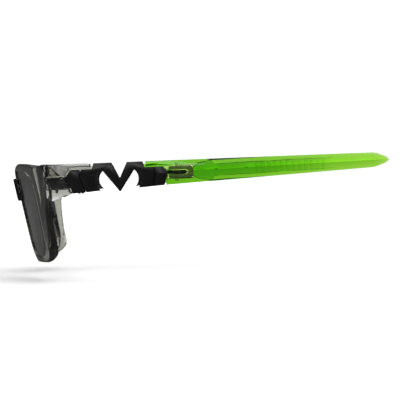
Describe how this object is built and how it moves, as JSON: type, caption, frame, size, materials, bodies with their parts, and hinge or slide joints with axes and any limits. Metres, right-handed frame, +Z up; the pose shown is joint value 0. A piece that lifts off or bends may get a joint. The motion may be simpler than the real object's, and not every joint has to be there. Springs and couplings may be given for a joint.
{
  "type": "sports spectacles",
  "caption": "Sports spectacles with smoke rims and lenses, black zig-zag flex links behind folding hinges, and straight translucent green temples with pointed tips.",
  "frame": {"origin": "bottom centre of the bounding box: midway between the temples, midway between the nose boss and the temple tips, level with the lowest point of the rims", "axes": "+X towards the wearer's left, +Y from the front towards the temple tips, +Z up"},
  "size_m": [0.146, 0.1635, 0.0479],
  "materials": {
    "smoke_plastic": "clear moulded smoke-grey plastic, polished",
    "tinted_lens": "grey tinted, hard-coated",
    "black_plastic": "fine satin moulded black",
    "green_plastic": "clear moulded bright green plastic",
    "grey_sleeve": "smoke-grey moulded",
    "soft_rubber": "soft matte elastomer",
    "pin_steel": "turned stainless steel"
  },
  "bodies": {
    "front": {"left_rim": "smoke_plastic", "left_lens": "tinted_lens", "left_nose_pad": "soft_rubber", "left_hinge_block": "black_plastic", "left_block_lock_pin": "pin_steel", "left_hinge_screw": "pin_steel", "right_rim": "smoke_plastic", "right_lens": "tinted_lens", "right_nose_pad": "soft_rubber", "right_hinge_block": "black_plastic", "right_block_lock_pin": "pin_steel", "right_hinge_screw": "pin_steel", "bridge": "black_plastic"},
    "left_arm": {"left_flex_link": "black_plastic", "left_temple_sleeve": "grey_sleeve", "left_temple_lock_pin": "green_plastic", "left_temple": "green_plastic"},
    "right_arm": {"right_flex_link": "black_plastic", "right_temple_sleeve": "grey_sleeve", "right_temple_lock_pin": "green_plastic", "right_temple": "green_plastic"}
  },
  "joints": [
    {"name": "left_temple_fold", "type": "hinge", "parent": "front", "child": "left_arm", "pos_m": [0.0676, -0.04965, 0.03594], "axis": [0, -0.0401, 0.9992], "range_deg": [0, 90]},
    {"name": "right_temple_fold", "type": "hinge", "parent": "front", "child": "right_arm", "pos_m": [-0.0676, -0.04965, 0.03594], "axis": [0, 0.0401, -0.9992], "range_deg": [0, 80]}
  ]
}
